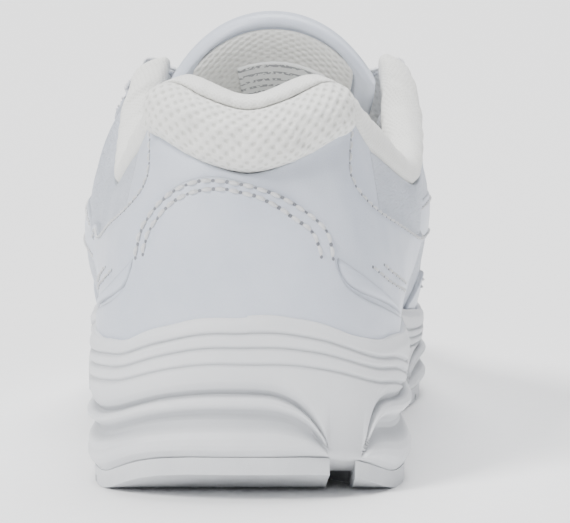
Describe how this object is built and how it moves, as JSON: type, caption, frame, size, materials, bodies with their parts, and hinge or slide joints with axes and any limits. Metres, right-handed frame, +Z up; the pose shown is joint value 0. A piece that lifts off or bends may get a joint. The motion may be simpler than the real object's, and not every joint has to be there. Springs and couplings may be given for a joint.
{
  "type": "low-cut athletic cheer shoe, left foot",
  "caption": "White low-cut leather cheer shoe with a padded collar, mesh heel pad, padded tongue, flat laces and a thick sculpted foam sole with rubber pads.",
  "frame": {"origin": "on the floor, below the middle of the shoe's bounding box", "axes": "+Y from heel to toe, +X to the medial side of this left shoe, +Z up"},
  "size_m": [0.0997, 0.278, 0.117],
  "materials": {
    "outsole": "satin white rubber",
    "midsole_foam": "moulded white foam, satin",
    "shank": "matte",
    "board": "stiff fibre board",
    "foam": "open-cell foam",
    "lining_mesh": "off-white knitted mesh",
    "leather": "coated white leather, soft sheen",
    "label": "printed label, print left out",
    "lace": "flat woven lace"
  },
  "bodies": {
    "shoe": {"outsole_heel_lateral": "outsole", "outsole_heel_medial": "outsole", "outsole_ball_lateral": "outsole", "outsole_ball_medial": "outsole", "outsole_toe": "outsole", "shank_plate": "shank", "midsole": "midsole_foam", "lasting_board": "board", "back_quarter": "leather", "quarter_lateral": "leather", "quarter_medial": "leather", "vamp": "leather", "heel_counter": "board", "toe_puff": "board", "forefoot_lining": "lining_mesh", "heel_foxing": "leather", "heel_patch": "leather", "heel_rib_lateral": "leather", "heel_rib_medial": "leather", "toe_cap": "leather", "eyestay_lateral": "leather", "eyestay_medial": "leather", "side_band_lateral": "leather", "side_band_medial": "leather", "collar_foam": "foam", "collar_lining": "lining_mesh", "heel_pad_foam": "foam", "heel_pad_mesh": "lining_mesh", "lace": "lace"},
    "tongue": {"tongue_cover": "leather", "tongue_foam": "foam", "tongue_lining": "lining_mesh", "tongue_label": "label"},
    "insole": {"insole_foam": "foam", "insole_cover": "lining_mesh"}
  },
  "joints": [
    {"name": "tongue_hinge", "type": "hinge", "parent": "shoe", "child": "tongue", "pos_m": [0.0045, 0.06, 0.0535], "axis": [1, 0, 0], "range_deg": [0, 12]},
    {"name": "insole_lift", "type": "hinge", "parent": "shoe", "child": "insole", "pos_m": [0.004, 0.123, 0.0265], "axis": [-1, 0, 0], "range_deg": [0, 5]}
  ]
}
